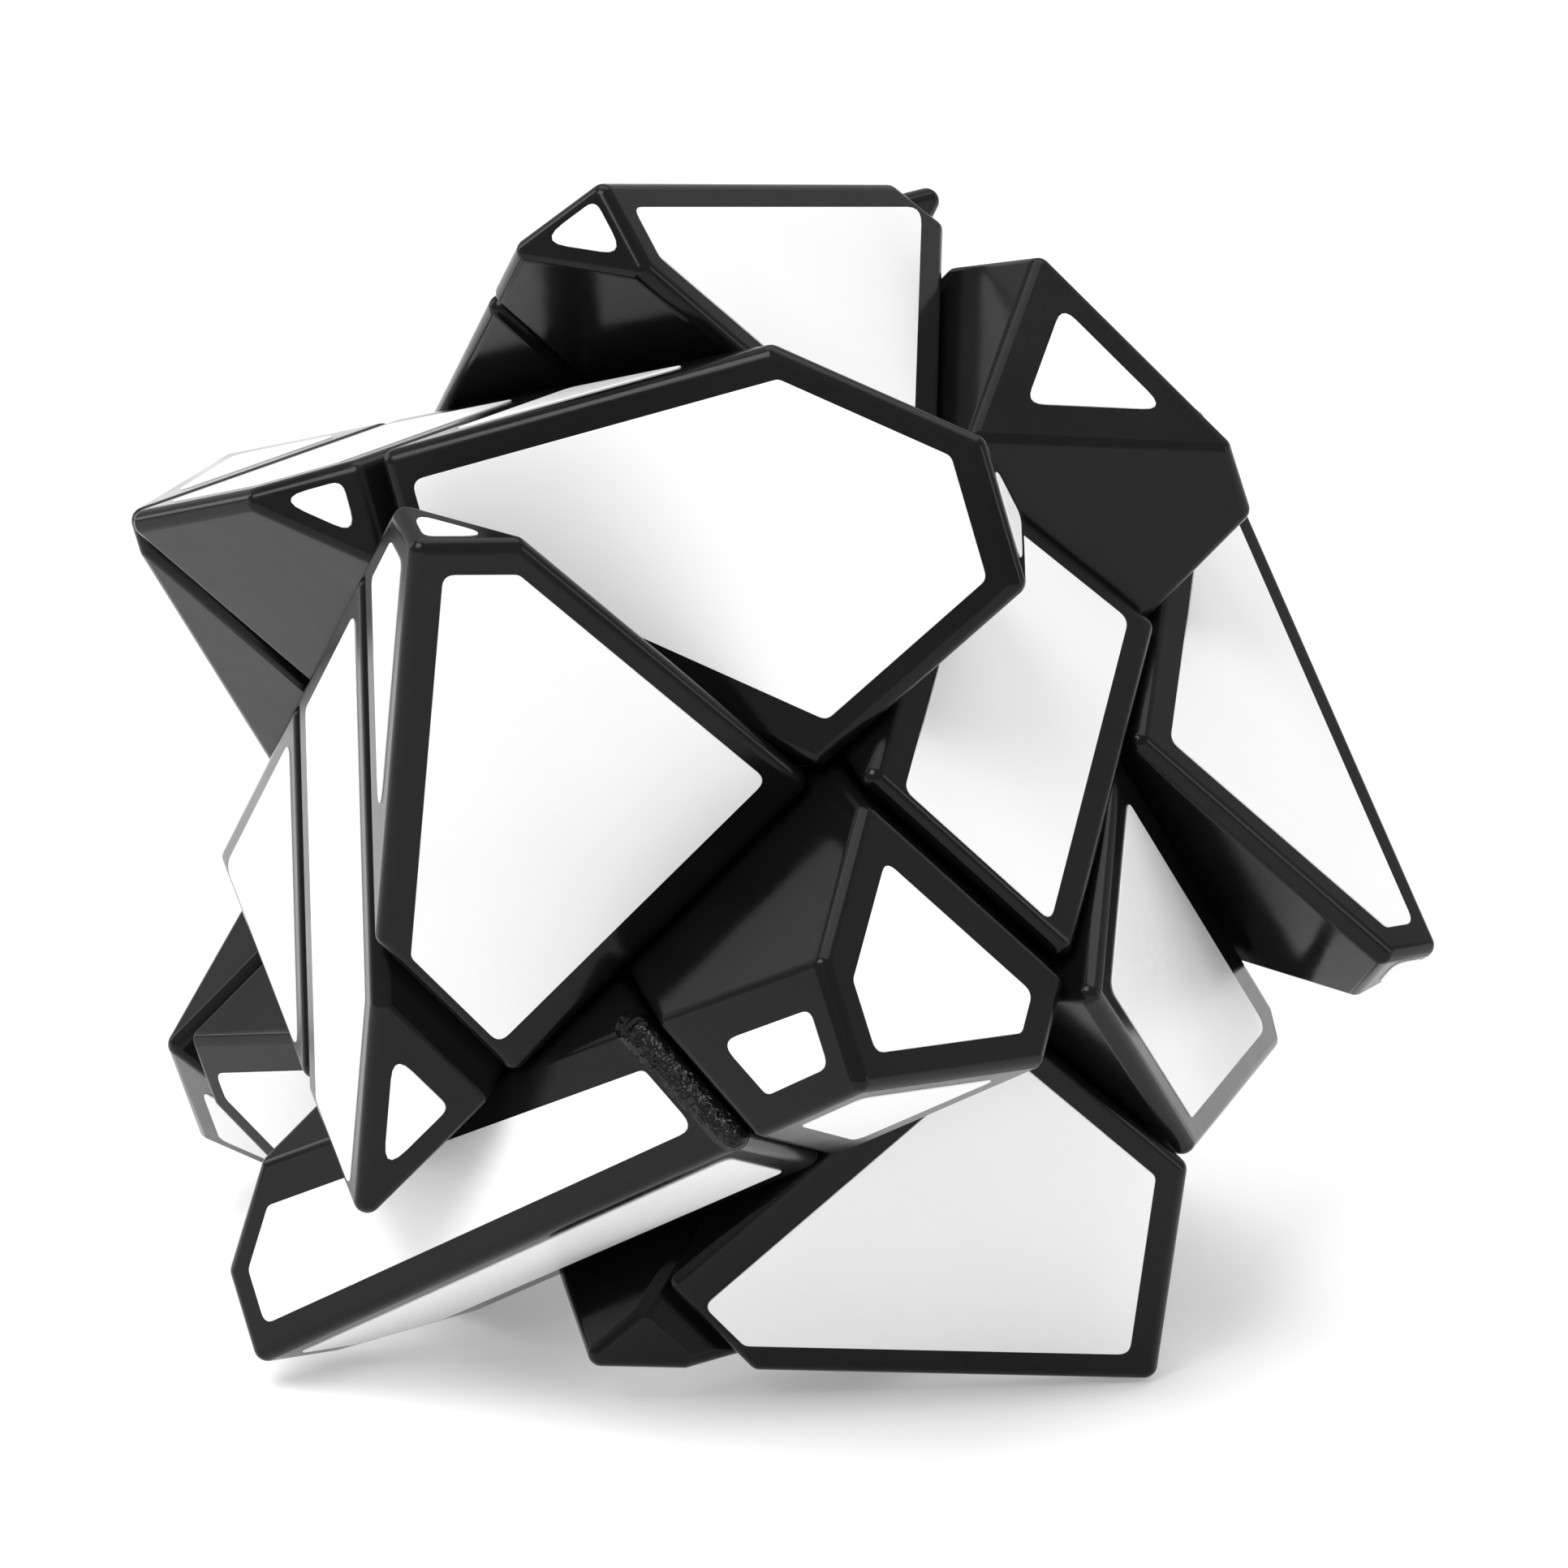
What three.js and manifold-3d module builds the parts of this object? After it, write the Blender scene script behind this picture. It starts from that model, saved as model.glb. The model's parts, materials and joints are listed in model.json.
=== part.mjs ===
// Twisty puzzle: a 3x3x3 turning mechanism inside a cube that is cut askew, with its layers part way
// through a turn. Millimetres and degrees, +Z up.
// Mechanism frame: origin at the core, the three cut directions along x, y and z, layers turning about y.
import * as THREE from "three";
import { mergeVertices } from "three/addons/utils/BufferGeometryUtils.js";
import Module from "manifold-3d";

// Overall sizes
const CUBE_HALF = 28.5; // half the side of the solved cube
const LAYER_HALF = 9.7; // half the thickness of the middle layer
const CLEARANCE = 0.3; // gap between neighbouring pieces

// Inner mechanism
const FOOT_HALF = 4.85; // half the width of the channels between the feet
const SHELL_RADIUS = 20; // outer blocks stop here, feet carry on inside
const CORE_RADIUS = 8.2;
const SPHERE_SEGMENTS = 40;

// Screws, springs and washers, placed along each of the six axes
const SHANK_RADIUS = 1.2;
const SHANK_START = 3.3;
const SCREW_TOP = 19;
const HEAD_RADIUS = 2.6;
const HEAD_HEIGHT = 1.5;
const DRIVE_RADIUS = 1;
const DRIVE_DEPTH = 0.8;
const WASHER_THICKNESS = 0.5;
const SPRING_RADIUS = 2.1;
const WIRE_RADIUS = 0.35;
const SPRING_COILS = 5;
const POCKET_FLOOR = 10.3;
const POCKET_RADIUS = 3;
const POCKET_ROOM = 0.5;
const STEPS_PER_COIL = 10;
const ROUND_SEGMENTS = 20;

// How the cube sits askew on the cut directions, as turns about z, x and z
const CUBE_HEADING = 61.47;
const CUBE_TILT = 5.08;
const CUBE_SPIN = 32.61;

// How far each z layer is turned against the cube it was cut from
const CUT_TWIST = new Map([
  [1, 145.65],
  [0, 180],
  [-1, 208.77],
]);

// The three bodies: y layers, each with its turn about +y
const LAYERS = [
  { name: "upper", row: 1, turn: 0 },
  { name: "middle", row: 0, turn: 53.69 },
  { name: "lower", row: -1, turn: -6.93 },
];

// How the puzzle lies on the floor, as turns about x, y and z
const REST_TURN = [133.01, -23.83, 46.13];

const KINDS = ["", "centre", "edge", "corner"];
const REACH = 4 * CUBE_HALF; // past every surface of the puzzle
const OVERSHOOT = 1; // how far a cutter runs past the face it opens

const wasm = await Module();
wasm.setup();

const plastic = new THREE.MeshStandardMaterial({ color: 0x0b0b0d, roughness: 0.22, metalness: 0 });
const coreNylon = new THREE.MeshStandardMaterial({ color: 0xd9d6cc, roughness: 0.55, metalness: 0 });
const steel = new THREE.MeshStandardMaterial({ color: 0xb4b6ba, roughness: 0.32, metalness: 1 });

function radians(degrees) {
  return THREE.MathUtils.degToRad(degrees);
}

// A closed three.js geometry as a solid.
function solidOf(geometry) {
  geometry.deleteAttribute("normal");
  geometry.deleteAttribute("uv");
  const merged = mergeVertices(geometry, 1e-4);
  const vertProperties = merged.attributes.position.array;
  const triVerts = new Uint32Array(merged.index.array);
  return new wasm.Manifold(new wasm.Mesh({ numProp: 3, vertProperties, triVerts }));
}

// A solid as a named mesh.
function meshOf(name, solid, material) {
  const made = solid.getMesh();
  const geometry = new THREE.BufferGeometry();
  geometry.setAttribute("position", new THREE.BufferAttribute(made.vertProperties, 3));
  geometry.setIndex(new THREE.BufferAttribute(made.triVerts, 1));
  geometry.computeVertexNormals();
  const mesh = new THREE.Mesh(geometry, material);
  mesh.name = name;
  return mesh;
}

function ball(radius) {
  return solidOf(new THREE.SphereGeometry(radius, SPHERE_SEGMENTS, SPHERE_SEGMENTS / 2));
}

// The span of one cell along one axis, less the clearance, where the cuts lie at plus and minus half.
function span(side, half) {
  const cut = half + (side === 0 ? -CLEARANCE : CLEARANCE) / 2;
  if (side > 0) return [cut, REACH];
  if (side < 0) return [-REACH, -cut];
  return [-cut, cut];
}

// The room of one cell of the 3x3x3 grid.
function cell(position, half) {
  const spans = position.map((side) => span(side, half));
  const box = new THREE.BoxGeometry(...spans.map(([low, high]) => high - low));
  box.translate(...spans.map(([low, high]) => (low + high) / 2));
  return solidOf(box);
}

// The cube as the pieces of one z layer were cut from it.
function askewCube(twist) {
  const onDiagonal = new THREE.Matrix4().makeBasis(
    new THREE.Vector3(2, -1, -1).normalize(),
    new THREE.Vector3(0, 1, -1).normalize(),
    new THREE.Vector3(1, 1, 1).normalize(),
  );
  const cube = new THREE.BoxGeometry(2 * CUBE_HALF, 2 * CUBE_HALF, 2 * CUBE_HALF);
  cube.applyMatrix4(onDiagonal.transpose());
  cube.rotateZ(radians(CUBE_SPIN));
  cube.rotateX(radians(CUBE_TILT));
  cube.rotateZ(radians(CUBE_HEADING + twist));
  return solidOf(cube);
}

// A solid of revolution about one of the six axes, its profile given as [radius, distance] points.
function turned(profile, direction) {
  const points = [...profile, profile[0]].map(([radius, height]) => new THREE.Vector2(radius, height));
  const geometry = new THREE.LatheGeometry(points, ROUND_SEGMENTS);
  geometry.applyQuaternion(alongAxis(direction));
  return solidOf(geometry);
}

function alongAxis(direction) {
  return new THREE.Quaternion().setFromUnitVectors(new THREE.Vector3(0, 1, 0), direction);
}

function rod(radius, start, end, direction) {
  return turned([[0, start], [radius, start], [radius, end], [0, end]], direction);
}

const headUnderside = SCREW_TOP - HEAD_HEIGHT;
const washerTop = headUnderside - CLEARANCE;
const washerUnderside = washerTop - WASHER_THICKNESS;
const boreRadius = SHANK_RADIUS + CLEARANCE;

// The stepped bore of a centre piece: a hole for the shank, then a pocket for spring, washer and head.
function steppedBore(direction) {
  const hole = rod(boreRadius, 0, POCKET_FLOOR + OVERSHOOT, direction);
  const pocket = rod(POCKET_RADIUS, POCKET_FLOOR, SCREW_TOP + POCKET_ROOM, direction);
  return hole.add(pocket);
}

// One of the 26 outer pieces: its block of the cube, and the foot that reaches in to the core.
function piece(position) {
  const block = cell(position, LAYER_HALF);
  const footRoom = cell(position, FOOT_HALF);
  const shell = block.subtract(ball(SHELL_RADIUS + CLEARANCE / 2));
  const neck = block.intersect(footRoom);
  const foot = footRoom.intersect(ball(SHELL_RADIUS - CLEARANCE / 2));
  const whole = shell.add(neck).add(foot).intersect(askewCube(CUT_TWIST.get(position[2])));
  const made = whole.subtract(ball(CORE_RADIUS + CLEARANCE));
  const direction = new THREE.Vector3(...position);
  return direction.length() === 1 ? made.subtract(steppedBore(direction)) : made;
}

function core(directions) {
  const bores = directions.map((direction) =>
    rod(boreRadius, SHANK_START - CLEARANCE, CORE_RADIUS + OVERSHOOT, direction),
  );
  return bores.reduce((solid, bore) => solid.subtract(bore), ball(CORE_RADIUS));
}

function screw(direction) {
  const shank = rod(SHANK_RADIUS, SHANK_START, SCREW_TOP - HEAD_HEIGHT / 2, direction);
  const head = rod(HEAD_RADIUS, headUnderside, SCREW_TOP, direction);
  const drive = rod(DRIVE_RADIUS, SCREW_TOP - DRIVE_DEPTH, SCREW_TOP + OVERSHOOT, direction);
  return shank.add(head).subtract(drive);
}

function washer(direction) {
  const disc = rod(HEAD_RADIUS, washerUnderside, washerTop, direction);
  return disc.subtract(rod(boreRadius, washerUnderside - OVERSHOOT, washerTop + OVERSHOOT, direction));
}

// A coil of round wire between the pocket floor and the washer.
function spring(direction) {
  const start = POCKET_FLOOR + CLEARANCE + WIRE_RADIUS;
  const rise = washerUnderside - CLEARANCE - WIRE_RADIUS - start;
  const steps = STEPS_PER_COIL * SPRING_COILS;
  const points = Array.from({ length: steps + 1 }, (_, index) => {
    const turn = (2 * Math.PI * SPRING_COILS * index) / steps;
    const height = start + (rise * index) / steps;
    return new THREE.Vector3(SPRING_RADIUS * Math.cos(turn), height, SPRING_RADIUS * Math.sin(turn));
  });
  const wire = new THREE.Shape().absarc(0, 0, WIRE_RADIUS, 0, 2 * Math.PI, false);
  const path = new THREE.CatmullRomCurve3(points);
  const coil = new THREE.ExtrudeGeometry(wire, { steps, extrudePath: path, curveSegments: 3 });
  coil.applyQuaternion(alongAxis(direction));
  return solidOf(coil);
}

// Every cell of the 3x3x3 grid but the one the core fills.
function outerPositions() {
  const sides = [1, 0, -1];
  const all = sides.flatMap((x) => sides.flatMap((y) => sides.map((z) => [x, y, z])));
  return all.filter((position) => position.some((side) => side !== 0));
}

// The pieces of one y layer, named by kind and numbered in order.
function addPieces(group, layer) {
  const counts = new Map();
  for (const position of outerPositions().filter((at) => at[1] === layer.row)) {
    const kind = KINDS[position.filter((side) => side !== 0).length];
    const number = (counts.get(kind) ?? 0) + 1;
    counts.set(kind, number);
    group.add(meshOf(`${layer.name}_${kind}_${number}`, piece(position), plastic));
  }
}

const puzzle = new THREE.Group();
puzzle.name = "puzzle";
for (const layer of LAYERS) {
  const group = new THREE.Group();
  group.name = layer.name;
  addPieces(group, layer);
  group.rotation.y = radians(layer.turn);
  puzzle.add(group);
}

const middle = puzzle.getObjectByName("middle");
const axes = outerPositions()
  .map((position) => new THREE.Vector3(...position))
  .filter((direction) => direction.length() === 1);
middle.add(meshOf("core", core(axes), coreNylon));
axes.forEach((direction, index) => {
  middle.add(meshOf(`screw_${index + 1}`, screw(direction), steel));
  middle.add(meshOf(`spring_${index + 1}`, spring(direction), steel));
  middle.add(meshOf(`washer_${index + 1}`, washer(direction), steel));
});

puzzle.rotation.set(...REST_TURN.map(radians));
puzzle.updateMatrixWorld(true);
const bounds = new THREE.Box3().setFromObject(puzzle, true);
const centre = bounds.getCenter(new THREE.Vector3());
puzzle.position.set(-centre.x, -centre.y, -bounds.min.z);

export default puzzle;
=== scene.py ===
"""Twisty puzzle: rounded black plastic blocks with white facets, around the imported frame."""
import itertools
import json
import math
import bmesh
import bpy
from mathutils import Matrix, Vector


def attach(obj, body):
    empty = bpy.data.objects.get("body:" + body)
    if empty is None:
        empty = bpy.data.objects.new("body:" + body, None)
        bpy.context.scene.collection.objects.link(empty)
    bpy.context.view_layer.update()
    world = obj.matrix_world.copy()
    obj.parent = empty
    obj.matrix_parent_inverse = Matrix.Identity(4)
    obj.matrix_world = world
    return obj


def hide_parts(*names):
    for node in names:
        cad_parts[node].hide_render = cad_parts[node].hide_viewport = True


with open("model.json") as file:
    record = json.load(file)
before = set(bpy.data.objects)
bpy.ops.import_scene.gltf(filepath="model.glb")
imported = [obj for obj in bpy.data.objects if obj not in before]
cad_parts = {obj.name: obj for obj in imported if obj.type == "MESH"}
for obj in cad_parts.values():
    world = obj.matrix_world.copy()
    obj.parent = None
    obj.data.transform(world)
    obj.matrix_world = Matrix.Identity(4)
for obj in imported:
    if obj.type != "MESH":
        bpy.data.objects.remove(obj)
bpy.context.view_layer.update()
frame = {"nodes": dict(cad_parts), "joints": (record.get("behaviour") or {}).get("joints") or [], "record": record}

MM = 0.001

# Sizes of the puzzle, metres
CUBE_HALF = 28.5 * MM
LAYER_HALF = 9.7 * MM
CLEARANCE = 0.3 * MM
PLANE_SLACK = 0.03 * MM  # a face this near to an offset lies on that plane

# Flat sides of a block lie this far from the mechanism's centre
SIDE_OFFSETS = (CUBE_HALF, LAYER_HALF + CLEARANCE / 2, LAYER_HALF - CLEARANCE / 2)

# Rounded edges of the blocks
EDGE_ROUND = 0.9 * MM
SKIN = 0.02 * MM  # how far the rounded sides sit inside the CAD ones
CORNER_SLACK = SKIN / 4
WELD = 0.002 * MM
PARALLEL = 1e-4  # three planes with a smaller determinant don't meet in a corner
FOOT_BALL = 20.03 * MM
INNER_SIDE = 12 * MM
BALL_SEGMENTS = 48
DIRECTION_SUBDIVISIONS = 3
FLAT_ANGLE = math.radians(0.6)
CREASE_ANGLE = math.radians(35)

# White facets
CUT_RIM = 2.7 * MM
RIDGE_RIM = 2.2 * MM
RIM_SHARES = (1, 0.86, 0.72, 0.58, 0.46)
WANTED_AREA = 12e-6
LEAST_AREA = 3.5e-6
CORNER_RADIUS = 0.8 * MM
CORNER_STEPS = 5
MOST_CORNER_SHARE = 0.45
SHORTEST_SIDE = 0.15 * MM
STICKER_PROUD = 0.07 * MM
STICKER_DEPTH = 0.25 * MM
STICKER_EDGE = 0.05 * MM

# The rough moulding mark along one cut edge
SCUFFED_NODE = "middle_edge_3"
SCUFF_START = (-8.16 * MM, -36.86 * MM, 29.84 * MM)
SCUFF_END = (-3.42 * MM, -41.71 * MM, 26.37 * MM)
SCUFF_HALF_WIDTH = 0.9 * MM
SCUFF_FADE = 1.5  # the mark has faded out at this many half widths
SCUFF_GRAIN = 1300
SCUFF_HEIGHT = 0.5 * MM

# Finishes. A noise's scale is in waves per metre, and its low and high are where most of it lies
NOISE_LOW = 0.3
NOISE_HIGH = 0.7
PLASTIC_TINTS = ((0.3, (0.003, 0.003, 0.0033)), (0.75, (0.006, 0.006, 0.0064)))
PLASTIC_ROUGHNESS = (0.13, 0.22)
PLASTIC_SPECULAR = 0.16
PLASTIC_HAZE = 60
RIPPLE_SCALE = 140
RIPPLE_STRENGTH = 0.12
RIPPLE_HEIGHT = 0.4 * MM
GRAIN_SCALE = 2600
GRAIN_STRENGTH = 0.1
FINE_HEIGHT = 0.03 * MM
STICKER_TINTS = ((0.3, (0.78, 0.78, 0.783)), (0.7, (0.82, 0.82, 0.822)))
STICKER_ROUGHNESS = (0.34, 0.5)
STICKER_HAZE = 45
SPECK_SCALE = 1500
SPECK_STRENGTH = 0.12
STEEL_COLOR = (0.62, 0.63, 0.65)
STEEL_ROUGHNESS = 0.32
STEEL_GRAIN = 900
NYLON_COLOR = (0.80, 0.78, 0.72)
NYLON_ROUGHNESS = 0.55
NYLON_GRAIN = 400
NYLON_GLOW_THROUGH = 0.1
DARKEST_SHARE = 0.85
ROUGHNESS_SHARES = (0.8, 1.2)
INNER_STRENGTH = 0.15
INNER_HEIGHT = 0.05 * MM
FLOOR_TINTS = ((0.2, (0.75, 0.75, 0.75)), (0.8, (0.77, 0.77, 0.77)))
FLOOR_MOTTLE = 6
FLOOR_ROUGHNESS = 0.9
FLOOR_GLOW = 0.27
FLOOR_SPECULAR = 0.1
WHITE = (1, 1, 1, 1)

# Camera
CAMERA_PLACE = (-0.40 * MM, -677.6 * MM, 273.2 * MM)
CAMERA_TURN = (70.623, 0.004, -0.008)
LENS = 250.95
SENSOR_WIDTH = 36
NEAREST_SEEN = 0.01

# Light: each softbox as its name, place, target, width, height and power in watts
SOFTBOXES = (
    ("key_softbox", (-0.40, -0.45, 0.88), (0, 0, 0.04), 0.6, 0.6, 8.5),
    ("top_softbox", (0.05, 0.25, 0.85), (0, 0, 0.03), 0.9, 0.6, 3.6),
    ("right_card", (0.62, -0.12, 0.16), (0, 0, 0.04), 0.12, 0.3, 0.35),
    ("left_card", (-0.6, 0.25, 0.3), (0, 0, 0.04), 0.2, 0.4, 0.9),
)
STUDIO_STRENGTH = 0.63
FLOOR_SIZE = 6

MECHANISM = Vector(frame["joints"][0]["pos_m"])


# Materials

def new_material(name):
    material = bpy.data.materials.new(name)
    material.use_nodes = True
    return material, material.node_tree.nodes, material.node_tree.links


def noise(nodes, links, scale, detail, roughness=0.5):
    place = nodes.new("ShaderNodeTexCoord")
    texture = nodes.new("ShaderNodeTexNoise")
    texture.inputs["Scale"].default_value = scale
    texture.inputs["Detail"].default_value = detail
    texture.inputs["Roughness"].default_value = roughness
    links.new(place.outputs["Object"], texture.inputs["Vector"])
    return texture.outputs["Fac"]


def ramp(nodes, links, source, stops):
    node = nodes.new("ShaderNodeValToRGB")
    node.color_ramp.elements[0].position = stops[0][0]
    node.color_ramp.elements[1].position = stops[1][0]
    for element, stop in zip(node.color_ramp.elements, stops):
        element.color = (*stop[1], 1)
    links.new(source, node.inputs["Fac"])
    return node.outputs["Color"]


def spread(nodes, links, source, low, high):
    node = nodes.new("ShaderNodeMapRange")
    node.inputs["From Min"].default_value = NOISE_LOW
    node.inputs["From Max"].default_value = NOISE_HIGH
    node.inputs["To Min"].default_value = low
    node.inputs["To Max"].default_value = high
    links.new(source, node.inputs["Value"])
    return node.outputs["Result"]


def bump(nodes, links, source, strength, distance, under=None):
    node = nodes.new("ShaderNodeBump")
    node.inputs["Strength"].default_value = strength
    node.inputs["Distance"].default_value = distance
    links.new(source, node.inputs["Height"])
    if under is not None:
        links.new(under, node.inputs["Normal"])
    return node.outputs["Normal"]


def black_plastic(name, scuffed=False):
    material, nodes, links = new_material(name)
    shader = nodes["Principled BSDF"]
    haze = noise(nodes, links, PLASTIC_HAZE, 3)
    grain = noise(nodes, links, GRAIN_SCALE, 2, 0.6)
    links.new(ramp(nodes, links, haze, PLASTIC_TINTS), shader.inputs["Base Color"])
    links.new(spread(nodes, links, haze, *PLASTIC_ROUGHNESS), shader.inputs["Roughness"])
    ripple = noise(nodes, links, RIPPLE_SCALE, 2)
    normal = bump(nodes, links, ripple, RIPPLE_STRENGTH, RIPPLE_HEIGHT)
    if scuffed:
        normal = bump(nodes, links, scuff_height(nodes, links), 1, SCUFF_HEIGHT, normal)
    normal = bump(nodes, links, grain, GRAIN_STRENGTH, FINE_HEIGHT, normal)
    links.new(normal, shader.inputs["Normal"])
    shader.inputs["Specular IOR Level"].default_value = PLASTIC_SPECULAR
    return material


def scuff_height(nodes, links):
    """Coarse grain that fades out away from the line of the scuff."""
    place = nodes.new("ShaderNodeTexCoord")
    away = nodes.new("ShaderNodeVectorMath")
    away.operation = "SUBTRACT"
    away.inputs[1].default_value = SCUFF_START
    across = nodes.new("ShaderNodeVectorMath")
    across.operation = "CROSS_PRODUCT"
    across.inputs[1].default_value = (Vector(SCUFF_END) - Vector(SCUFF_START)).normalized()
    distance = nodes.new("ShaderNodeVectorMath")
    distance.operation = "LENGTH"
    fade = nodes.new("ShaderNodeMapRange")
    fade.inputs["From Min"].default_value = SCUFF_HALF_WIDTH
    fade.inputs["From Max"].default_value = SCUFF_FADE * SCUFF_HALF_WIDTH
    fade.inputs["To Min"].default_value = 1
    fade.inputs["To Max"].default_value = 0
    height = nodes.new("ShaderNodeMath")
    height.operation = "MULTIPLY"
    links.new(place.outputs["Object"], away.inputs[0])
    links.new(away.outputs[0], across.inputs[0])
    links.new(across.outputs[0], distance.inputs[0])
    links.new(distance.outputs["Value"], fade.inputs["Value"])
    links.new(fade.outputs["Result"], height.inputs[0])
    links.new(noise(nodes, links, SCUFF_GRAIN, 2, 0.6), height.inputs[1])
    return height.outputs["Value"]


def white_sticker():
    material, nodes, links = new_material("satin_white_sticker")
    shader = nodes["Principled BSDF"]
    haze = noise(nodes, links, STICKER_HAZE, 3)
    speck = noise(nodes, links, SPECK_SCALE, 3, 0.7)
    links.new(ramp(nodes, links, haze, STICKER_TINTS), shader.inputs["Base Color"])
    links.new(spread(nodes, links, speck, *STICKER_ROUGHNESS), shader.inputs["Roughness"])
    links.new(bump(nodes, links, speck, SPECK_STRENGTH, FINE_HEIGHT), shader.inputs["Normal"])
    return material


def inner_finish(name, color, roughness, grain_scale):
    """A finely grained finish for the parts of the mechanism."""
    material, nodes, links = new_material(name)
    shader = nodes["Principled BSDF"]
    grain = noise(nodes, links, grain_scale, 3)
    dark = tuple(value * DARKEST_SHARE for value in color)
    smoothest, roughest = (roughness * share for share in ROUGHNESS_SHARES)
    tints = ((NOISE_LOW, dark), (NOISE_HIGH, color))
    links.new(ramp(nodes, links, grain, tints), shader.inputs["Base Color"])
    links.new(spread(nodes, links, grain, smoothest, roughest), shader.inputs["Roughness"])
    links.new(bump(nodes, links, grain, INNER_STRENGTH, INNER_HEIGHT), shader.inputs["Normal"])
    return material, shader


def steel():
    material, shader = inner_finish("satin_steel", STEEL_COLOR, STEEL_ROUGHNESS, STEEL_GRAIN)
    shader.inputs["Metallic"].default_value = 1
    return material


def core_nylon():
    material, shader = inner_finish("core_nylon", NYLON_COLOR, NYLON_ROUGHNESS, NYLON_GRAIN)
    shader.inputs["Subsurface Weight"].default_value = NYLON_GLOW_THROUGH
    return material


def pale_floor():
    material, nodes, links = new_material("pale_floor")
    shader = nodes["Principled BSDF"]
    mottle = noise(nodes, links, FLOOR_MOTTLE, 2)
    links.new(ramp(nodes, links, mottle, FLOOR_TINTS), shader.inputs["Base Color"])
    shader.inputs["Roughness"].default_value = FLOOR_ROUGHNESS
    shader.inputs["Emission Color"].default_value = WHITE
    shader.inputs["Emission Strength"].default_value = FLOOR_GLOW
    shader.inputs["Specular IOR Level"].default_value = FLOOR_SPECULAR
    return material


# Blocks

def joined_copy(node):
    """The node's mesh as one closed surface."""
    work = bmesh.new()
    work.from_mesh(frame["nodes"][node].data)
    bmesh.ops.remove_doubles(work, verts=work.verts, dist=WELD)
    return work


def flat_copy(node):
    """The node's mesh with each flat area as one face."""
    work = joined_copy(node)
    bmesh.ops.dissolve_limit(
        work, angle_limit=FLAT_ANGLE, verts=work.verts, edges=work.edges, delimit=set()
    )
    return work


def side_offset(face):
    return face.normal.dot(face.verts[0].co - MECHANISM)


def on_cube(face):
    return abs(abs(side_offset(face)) - CUBE_HALF) < PLANE_SLACK


def flat_sides(work):
    """The planes of a block's outer part, each as its outward normal and its offset from the centre."""
    sides = {}
    for face in work.faces:
        offset = side_offset(face)
        if min(abs(abs(offset) - known) for known in SIDE_OFFSETS) < PLANE_SLACK:
            key = tuple(round(value, 2) + 0.0 for value in face.normal)
            sides[key] = (face.normal.copy(), offset)
    planes = list(sides.values())
    if all(offset > 0 for normal, offset in planes):
        planes.append(inner_side(work))
    return planes


def inner_side(work):
    """A plane that closes a centre block's outer part inside the foot ball, facing inwards."""
    outwards = sum((vertex.co - MECHANISM for vertex in work.verts), Vector()).normalized()
    return -outwards, -INNER_SIDE


def corners_of(sides, inset):
    """Where three planes meet, once every plane is moved inwards."""
    corners = []
    for trio in itertools.combinations(sides, 3):
        normals = Matrix([normal for normal, offset in trio])
        if abs(normals.determinant()) < PARALLEL:
            continue
        corner = normals.inverted() @ Vector([offset - inset for normal, offset in trio])
        if all(normal.dot(corner) < offset - inset + CORNER_SLACK for normal, offset in sides):
            corners.append(corner)
    return corners


def ball_directions():
    work = bmesh.new()
    bmesh.ops.create_icosphere(work, subdivisions=DIRECTION_SUBDIVISIONS, radius=1)
    directions = [vertex.co.copy() for vertex in work.verts]
    work.free()
    return directions


DIRECTIONS = ball_directions()


def rounded_hull(sides):
    """The outer part of a block as a convex body with round edges and corners."""
    work = bmesh.new()
    for corner in corners_of(sides, EDGE_ROUND + SKIN):
        for direction in DIRECTIONS + [normal for normal, offset in sides]:
            work.verts.new(MECHANISM + corner + direction * EDGE_ROUND)
    hull = bmesh.ops.convex_hull(work, input=work.verts)
    left_over = hull["geom_interior"] + hull["geom_unused"]
    inside = {item for item in left_over if isinstance(item, bmesh.types.BMVert)}
    bmesh.ops.delete(work, geom=list(inside), context="VERTS")
    bmesh.ops.recalc_face_normals(work, faces=work.faces)
    return mesh_object("hull", work)


def foot_ball():
    work = bmesh.new()
    bmesh.ops.create_uvsphere(
        work, u_segments=BALL_SEGMENTS, v_segments=BALL_SEGMENTS // 2, radius=FOOT_BALL
    )
    bmesh.ops.translate(work, verts=work.verts, vec=MECHANISM)
    return mesh_object("ball", work)


def combined(name, first, second, operation):
    """A new object from two, which are removed."""
    modifier = first.modifiers.new("combine", "BOOLEAN")
    modifier.object = second
    modifier.operation = operation
    modifier.solver = "EXACT"
    bpy.context.view_layer.update()
    shape = first.evaluated_get(bpy.context.evaluated_depsgraph_get())
    made = bpy.data.objects.new(name, bpy.data.meshes.new_from_object(shape))
    for spent in (first, second):
        bpy.data.objects.remove(spent)
    bpy.context.scene.collection.objects.link(made)
    return made


def rounded_block(node, flat):
    envelope = combined("envelope", rounded_hull(flat_sides(flat)), foot_ball(), "UNION")
    block = combined("block_" + node, mesh_object("sharp", joined_copy(node)), envelope, "INTERSECT")
    block.data.shade_smooth()
    block.data.set_sharp_from_angle(angle=CREASE_ANGLE)
    shading = block.modifiers.new("flat_side_shading", "WEIGHTED_NORMAL")
    shading.keep_sharp = True
    return block


def mesh_object(name, work):
    mesh = bpy.data.meshes.new(name)
    work.to_mesh(mesh)
    work.free()
    made = bpy.data.objects.new(name, mesh)
    bpy.context.scene.collection.objects.link(made)
    return made


# White facets

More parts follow.
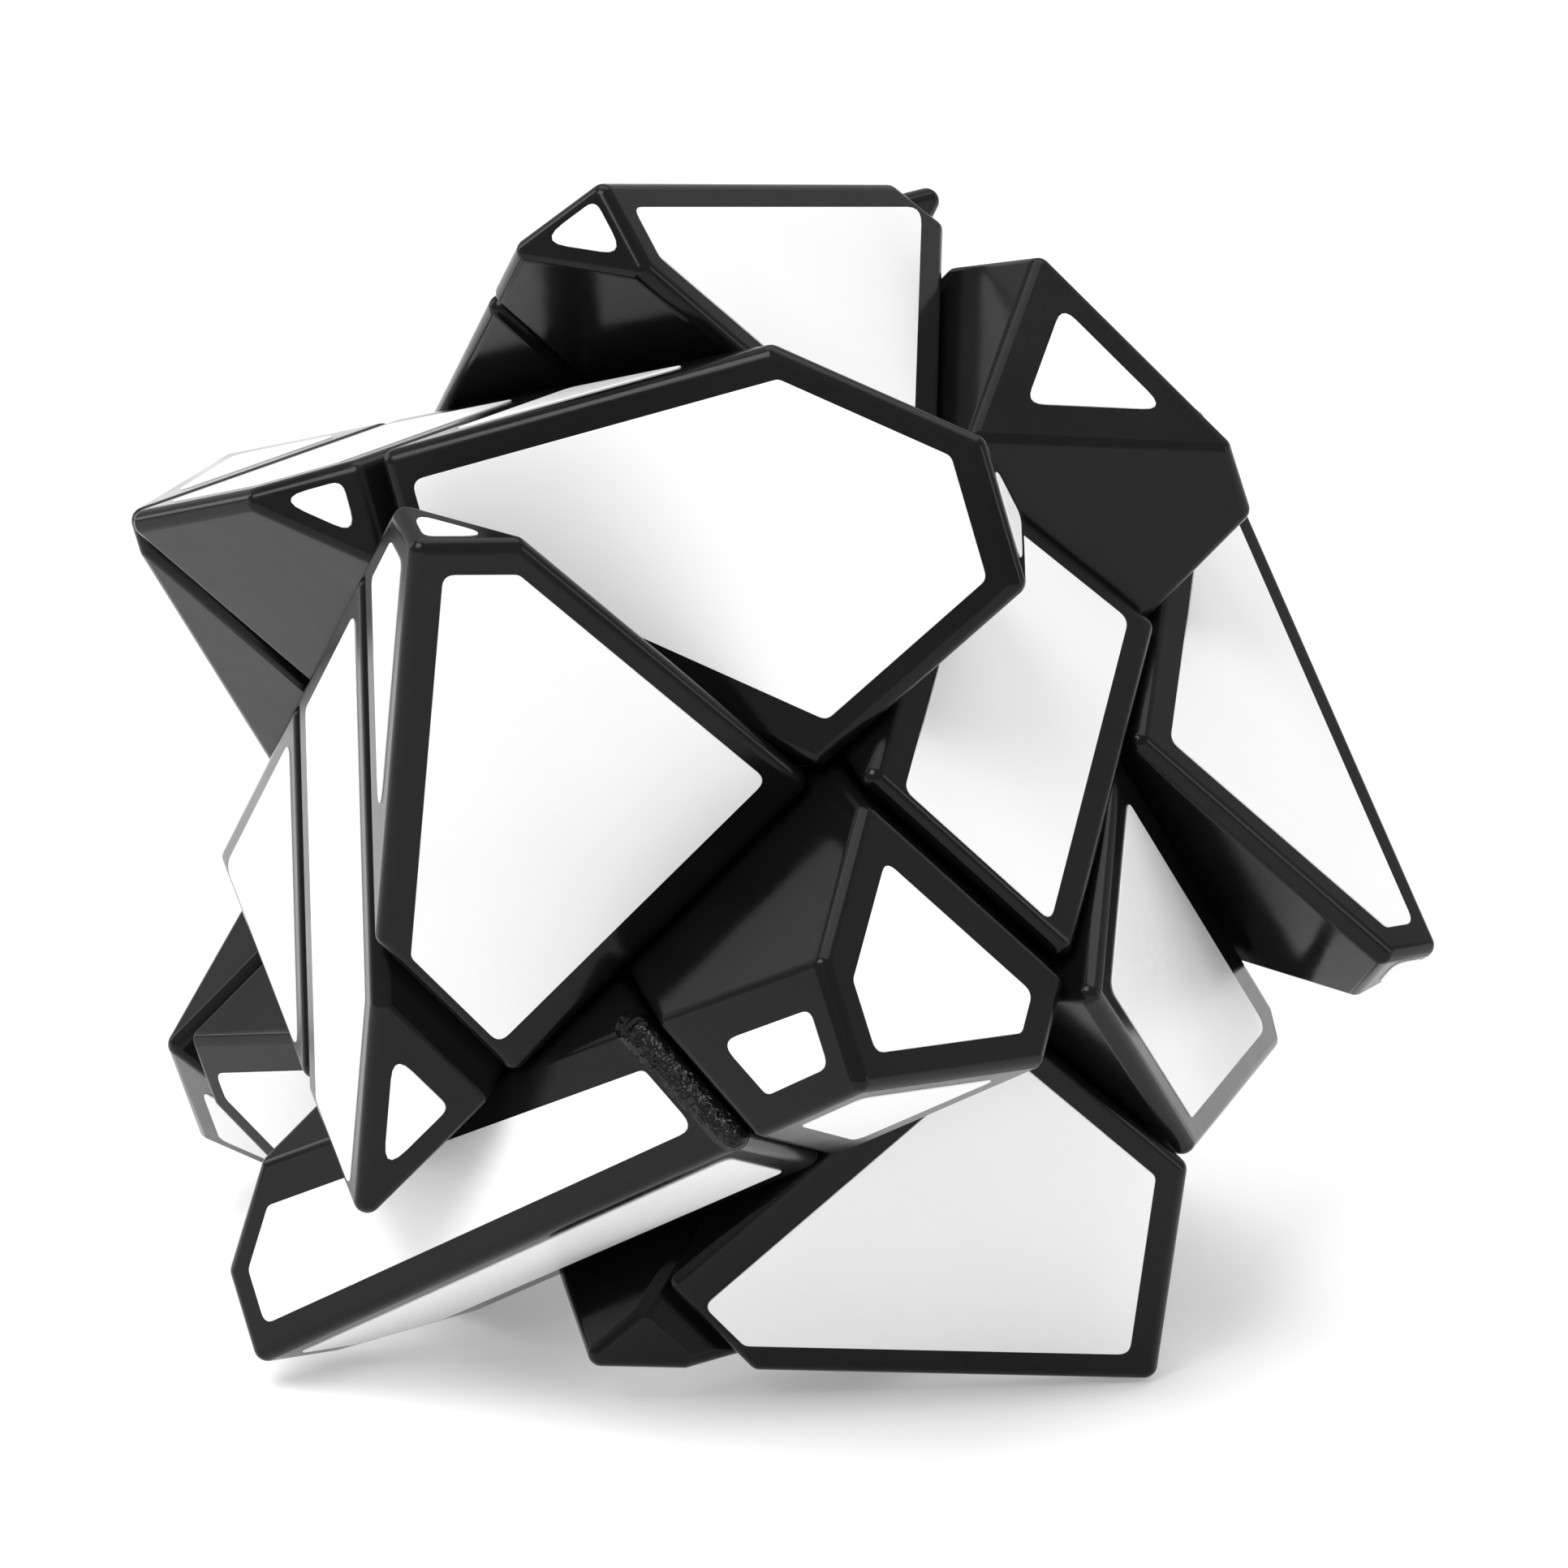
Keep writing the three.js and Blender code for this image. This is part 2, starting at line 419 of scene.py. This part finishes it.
def facet_sides(face):
    """Each side of a facet as its start, its end, and whether it is a ridge between two facets."""
    sides = []
    for loop in face.loops:
        other = [near for near in loop.edge.link_faces if near is not face]
        ridge = bool(other) and on_cube(other[0])
        sides.append((loop.vert.co.copy(), loop.link_loop_next.vert.co.copy(), ridge))
    return sides


def clip(points, origin, inward):
    """The part of a flat polygon on the inner side of a line."""
    kept = []
    for index, point in enumerate(points):
        after = points[(index + 1) % len(points)]
        here = (point - origin).dot(inward)
        there = (after - origin).dot(inward)
        if here >= 0:
            kept.append(point)
        if here * there < 0:
            kept.append(point.lerp(after, here / (here - there)))
    return kept


def inset_polygon(face, share):
    points = [vertex.co.copy() for vertex in face.verts]
    for start, end, ridge in facet_sides(face):
        inward = face.normal.cross(end - start).normalized()
        rim = (RIDGE_RIM if ridge else CUT_RIM) * share
        points = clip(points, start + inward * rim, inward)
        if len(points) < 3:
            return []
    return points


def area_of(points):
    total = Vector()
    for index in range(1, len(points) - 1):
        total += (points[index] - points[0]).cross(points[index + 1] - points[0])
    return total.length / 2


def sticker_outline(face):
    """The facet's outline moved in by the dark rim, which is narrower on a small facet."""
    outline = []
    for share in RIM_SHARES:
        outline = inset_polygon(face, share)
        if outline and area_of(outline) > WANTED_AREA:
            break
    return outline if outline and area_of(outline) > LEAST_AREA else []


def merged_corners(points):
    """The outline without corners that lie almost on the one before."""
    return [
        point for index, point in enumerate(points)
        if (point - points[index - 1]).length > SHORTEST_SIDE
    ]


def round_corners(points):
    outline = []
    for index, corner in enumerate(points):
        before = points[index - 1] - corner
        after = points[(index + 1) % len(points)] - corner
        half = before.angle(after) / 2
        shorter = min(before.length, after.length)
        reach = min(CORNER_RADIUS / math.tan(half), MOST_CORNER_SHARE * shorter)
        start = corner + before.normalized() * reach
        end = corner + after.normalized() * reach
        for step in range(CORNER_STEPS + 1):
            share = step / CORNER_STEPS
            outline.append(start.lerp(corner, share).lerp(corner.lerp(end, share), share))
    return outline


def shrunk(outline, amount):
    centre = sum(outline, Vector()) / len(outline)
    return [point + (centre - point).normalized() * amount for point in outline]


def add_sticker(work, outline, normal):
    """A thin plate with a softened top edge, let into the facet."""
    levels = (
        (outline, -STICKER_DEPTH),
        (outline, STICKER_PROUD - STICKER_EDGE),
        (shrunk(outline, STICKER_EDGE), STICKER_PROUD),
    )
    rings = [[work.verts.new(point + normal * height) for point in points] for points, height in levels]
    for lower, upper in zip(rings, rings[1:]):
        for index in range(len(outline)):
            after = (index + 1) % len(outline)
            work.faces.new((lower[index], lower[after], upper[after], upper[index]))
    work.faces.new(list(reversed(rings[0])))
    work.faces.new(rings[-1])


def stickers(node, work):
    plates = bmesh.new()
    for face in work.faces:
        if not on_cube(face):
            continue
        outline = sticker_outline(face)
        if len(outline) > 2:
            add_sticker(plates, round_corners(merged_corners(outline)), face.normal.copy())
    if not plates.faces:
        plates.free()
        return None
    return mesh_object("facets_" + node, plates)


# The whole puzzle

def dress(node, body, plastic, white):
    flat = flat_copy(node)
    plates = stickers(node, flat)
    block = rounded_block(node, flat)
    flat.free()
    block.data.materials.append(plastic)
    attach(block, body)
    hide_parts(node)
    if plates:
        plates.data.materials.append(white)
        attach(plates, body)


def repaint(node, material):
    data = frame["nodes"][node].data
    data.materials.clear()
    data.materials.append(material)


plastic = black_plastic("glossy_black_plastic")
scuffed = black_plastic("scuffed_black_plastic", scuffed=True)
white = white_sticker()
metal = steel()
nylon = core_nylon()
for body, members in frame["record"]["behaviour"]["bodies"].items():
    for node in sorted(members):
        if node == "core":
            repaint(node, nylon)
        elif node.startswith(("screw", "spring", "washer")):
            repaint(node, metal)
        else:
            dress(node, body, scuffed if node == SCUFFED_NODE else plastic, white)


# Floor, light and camera

def add_floor():
    bpy.ops.mesh.primitive_plane_add(size=FLOOR_SIZE)
    floor = bpy.context.object
    floor.name = "floor"
    floor.data.materials.append(pale_floor())


def add_softbox(name, place, target, width, height, power):
    light = bpy.data.lights.new(name, "AREA")
    light.shape = "RECTANGLE"
    light.size = width
    light.size_y = height
    light.energy = power
    lamp = bpy.data.objects.new(name, light)
    lamp.location = place
    lamp.rotation_euler = (Vector(target) - Vector(place)).to_track_quat("-Z", "Y").to_euler()
    bpy.context.scene.collection.objects.link(lamp)


def add_world():
    world = bpy.data.worlds.new("studio")
    world.use_nodes = True
    background = world.node_tree.nodes["Background"]
    background.inputs["Color"].default_value = WHITE
    background.inputs["Strength"].default_value = STUDIO_STRENGTH
    bpy.context.scene.world = world


def add_camera():
    data = bpy.data.cameras.new("camera")
    data.lens = LENS
    data.sensor_width = SENSOR_WIDTH
    data.clip_start = NEAREST_SEEN
    camera = bpy.data.objects.new("camera", data)
    camera.location = CAMERA_PLACE
    camera.rotation_euler = [math.radians(angle) for angle in CAMERA_TURN]
    bpy.context.scene.collection.objects.link(camera)
    bpy.context.scene.camera = camera


add_floor()
for softbox in SOFTBOXES:
    add_softbox(*softbox)
add_world()
add_camera()
bpy.context.scene.view_settings.view_transform = "Standard"
